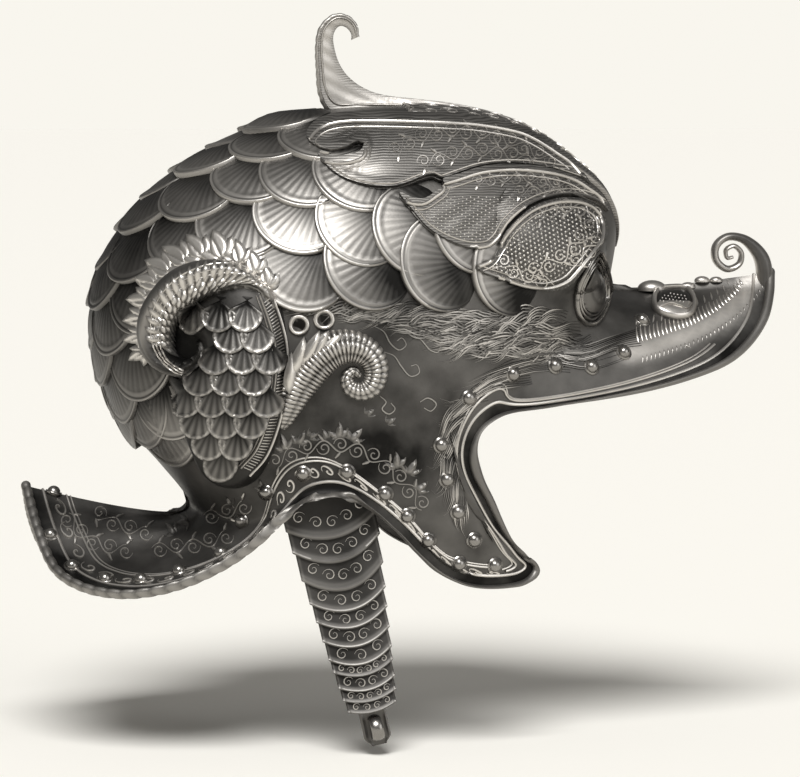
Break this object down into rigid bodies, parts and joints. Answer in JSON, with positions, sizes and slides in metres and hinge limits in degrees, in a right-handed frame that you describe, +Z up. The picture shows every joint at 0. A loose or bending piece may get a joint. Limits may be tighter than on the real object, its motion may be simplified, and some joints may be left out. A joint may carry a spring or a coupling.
{
  "type": "embossed parade helmet",
  "caption": "Open-faced iron parade helmet embossed as a scaly sea monster's head, with a beaked peak, curled crest, ear volutes, flared neck guard and a hinged side chin strap.",
  "frame": {"origin": "where the top of the wearer's head sits, a few millimetres of padding under the inside of the crown", "axes": "+X to the front, +Y to the wearer's left, +Z up"},
  "size_m": [0.3803, 0.2154, 0.3533],
  "materials": {
    "iron": "dark patinated iron with worn bright relief",
    "dark_iron": "blackened iron, lightly polished",
    "leather": "old dark strap leather"
  },
  "bodies": {
    "root": {"skull_shell": "iron", "crest_fin": "iron", "ear_volute_right": "iron", "ear_volute_left": "iron", "gill_horn_right": "iron", "gill_horn_left": "iron", "tip_scroll": "iron", "eye_right": "dark_iron", "eye_left": "dark_iron", "rivet_01_right": "dark_iron", "rivet_01_left": "dark_iron", "rivet_02_right": "dark_iron", "rivet_02_left": "dark_iron", "rivet_03_right": "dark_iron", "rivet_03_left": "dark_iron", "rivet_04_right": "dark_iron", "rivet_04_left": "dark_iron", "rivet_05_right": "dark_iron", "rivet_05_left": "dark_iron", "rivet_06_right": "dark_iron", "rivet_06_left": "dark_iron", "rivet_07_right": "dark_iron", "rivet_07_left": "dark_iron", "rivet_08_right": "dark_iron", "rivet_08_left": "dark_iron", "rivet_09_right": "dark_iron", "rivet_09_left": "dark_iron", "rivet_10_right": "dark_iron", "rivet_10_left": "dark_iron", "rivet_11_right": "dark_iron", "rivet_11_left": "dark_iron", "rivet_12_right": "dark_iron", "rivet_12_left": "dark_iron", "rivet_13_right": "dark_iron", "rivet_13_left": "dark_iron", "rivet_14_right": "dark_iron", "rivet_14_left": "dark_iron", "rivet_15_right": "dark_iron", "rivet_15_left": "dark_iron", "rivet_16_right": "dark_iron", "rivet_16_left": "dark_iron", "rivet_17_right": "dark_iron", "rivet_17_left": "dark_iron", "strap_post": "dark_iron", "strap_lame_01": "dark_iron", "strap_lame_02": "dark_iron", "strap_lame_03": "dark_iron", "strap_lame_04": "dark_iron", "strap_lame_05": "dark_iron", "strap_lame_06": "dark_iron", "strap_lame_07": "dark_iron", "strap_lame_08": "dark_iron", "strap_lame_09": "dark_iron", "strap_lame_10": "dark_iron", "strap_lame_11": "dark_iron", "strap_hook": "dark_iron", "strap_leather": "leather"}
  },
  "joints": []
}
